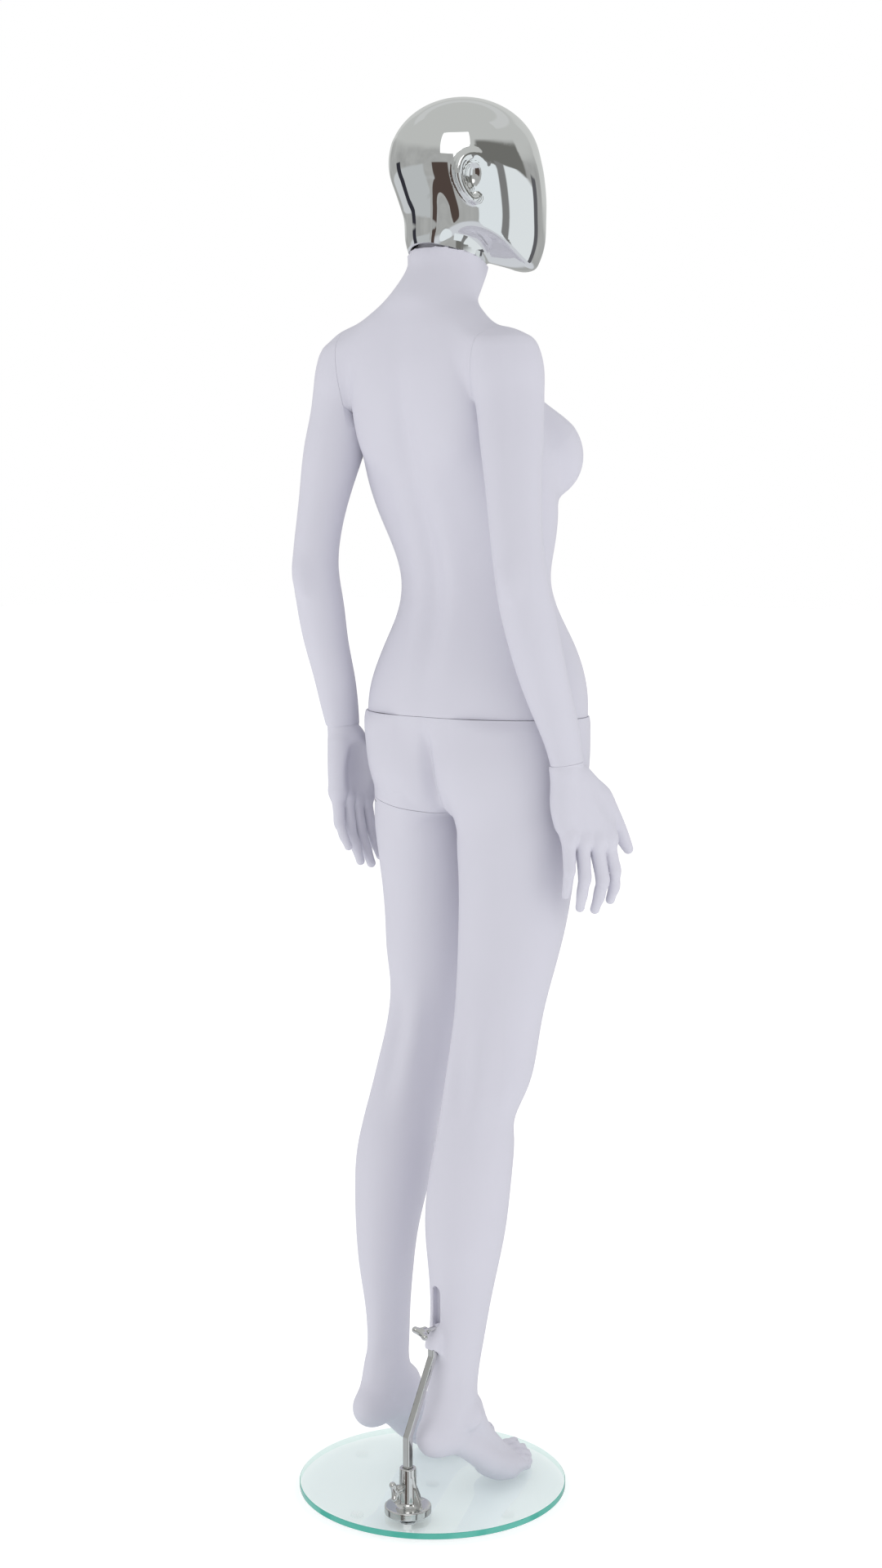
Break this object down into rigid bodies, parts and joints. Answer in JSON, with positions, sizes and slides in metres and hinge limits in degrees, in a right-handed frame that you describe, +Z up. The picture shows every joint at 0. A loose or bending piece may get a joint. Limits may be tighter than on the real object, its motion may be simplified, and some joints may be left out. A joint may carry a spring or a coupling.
{
  "type": "full body mannequin",
  "caption": "Free-standing full body display mannequin with twist-lock limbs, a mirrored head, raised heels, and a calf rod in a flange on a round glass base.",
  "frame": {"origin": "on the floor at the centre of the round glass base", "axes": "+Z up; the body faces -Y, so its right side is at -X"},
  "size_m": [0.4635, 0.372, 1.787],
  "materials": {
    "glass": "clear tempered glass with a green ground edge",
    "clear_pad": "clear soft plastic",
    "gasket": "translucent plastic",
    "washer": "black fibre",
    "chrome": "polished chrome plate",
    "mirror_chrome": "mirror chrome on a moulded shell",
    "white_shell": "matt white paint on a moulded shell",
    "white_metal": "white paint",
    "bulkhead": "grey laminate",
    "steel": "turned steel"
  },
  "bodies": {
    "base": {"glass_base": "glass", "base_pads": "clear_pad", "flange_gasket": "gasket", "base_flange": "chrome", "flange_bolt": "steel", "bolt_washer": "washer"},
    "flange_screw": {"flange_wing_screw": "chrome"},
    "rod": {"support_rod": "chrome"},
    "hips": {"hips_and_right_leg": "white_shell", "calf_socket": "white_metal", "waist_lower_plate": "bulkhead", "left_hip_plate": "bulkhead"},
    "calf_screw": {"calf_wing_screw": "chrome"},
    "left_leg": {"left_leg_shell": "white_shell", "left_leg_plate": "bulkhead", "left_leg_stud": "steel"},
    "torso": {"torso_shell": "white_shell", "waist_upper_plate": "bulkhead", "waist_stud": "steel", "neck_plate": "bulkhead", "right_shoulder_plate": "bulkhead", "left_shoulder_plate": "bulkhead"},
    "head": {"head_shell": "mirror_chrome", "head_plate": "bulkhead", "head_stud": "steel"},
    "right_arm": {"right_arm_shell": "white_shell", "right_arm_plate": "bulkhead", "right_arm_stud": "steel", "right_wrist_plate": "bulkhead"},
    "left_arm": {"left_arm_shell": "white_shell", "left_arm_plate": "bulkhead", "left_arm_stud": "steel", "left_wrist_plate": "bulkhead"},
    "right_hand": {"right_hand": "white_shell", "right_hand_stud": "steel"},
    "left_hand": {"left_hand": "white_shell", "left_hand_stud": "steel"}
  },
  "joints": [
    {"name": "flange_screw_turn", "type": "hinge", "parent": "base", "child": "flange_screw", "pos_m": [-0.053, 0.105, 0.048], "axis": [0, 1, 0], "range_deg": [-180, 180], "stiffness_Nm_per_rad": 0.5},
    {"name": "rod_height", "type": "slide", "parent": "base", "child": "rod", "axis": [0, 0, 1], "range_m": [0, 0.03]},
    {"name": "lift_off_rod", "type": "slide", "parent": "rod", "child": "hips", "axis": [0, 0, 1], "range_m": [0, 0.05]},
    {"name": "calf_screw_turn", "type": "hinge", "parent": "hips", "child": "calf_screw", "pos_m": [-0.064, 0.07, 0.247], "axis": [0, 1, 0], "range_deg": [-180, 180], "stiffness_Nm_per_rad": 0.5},
    {"name": "waist_twist", "type": "hinge", "parent": "hips", "child": "torso", "pos_m": [0, -0.086, 1.018], "axis": [0, 0, 1], "range_deg": [0, 30], "stiffness_Nm_per_rad": 30},
    {"name": "left_leg_twist", "type": "hinge", "parent": "hips", "child": "left_leg", "pos_m": [0.08, -0.066, 0.9], "axis": [-0.1392, 0, 0.9903], "range_deg": [0, 12], "stiffness_Nm_per_rad": 30},
    {"name": "head_turn", "type": "hinge", "parent": "torso", "child": "head", "pos_m": [0, -0.031, 1.607], "axis": [0, -0.2588, 0.9659], "range_deg": [-50, 80], "stiffness_Nm_per_rad": 30},
    {"name": "right_arm_twist", "type": "hinge", "parent": "torso", "child": "right_arm", "pos_m": [-0.118, 0.004, 1.452], "axis": [-0.9623, 0.2578, -0.0872], "range_deg": [-10, 30], "stiffness_Nm_per_rad": 30},
    {"name": "left_arm_twist", "type": "hinge", "parent": "torso", "child": "left_arm", "pos_m": [0.118, 0.004, 1.452], "axis": [0.9623, 0.2578, -0.0872], "range_deg": [-30, 10], "stiffness_Nm_per_rad": 30},
    {"name": "right_hand_twist", "type": "hinge", "parent": "right_arm", "child": "right_hand", "pos_m": [-0.19, -0.035, 0.967], "axis": [-0.0694, -0.1045, -0.9921], "range_deg": [-15, 15], "stiffness_Nm_per_rad": 5},
    {"name": "left_hand_twist", "type": "hinge", "parent": "left_arm", "child": "left_hand", "pos_m": [0.189, -0.029, 0.997], "axis": [0.052, -0.1045, -0.9932], "range_deg": [-15, 15], "stiffness_Nm_per_rad": 5}
  ]
}
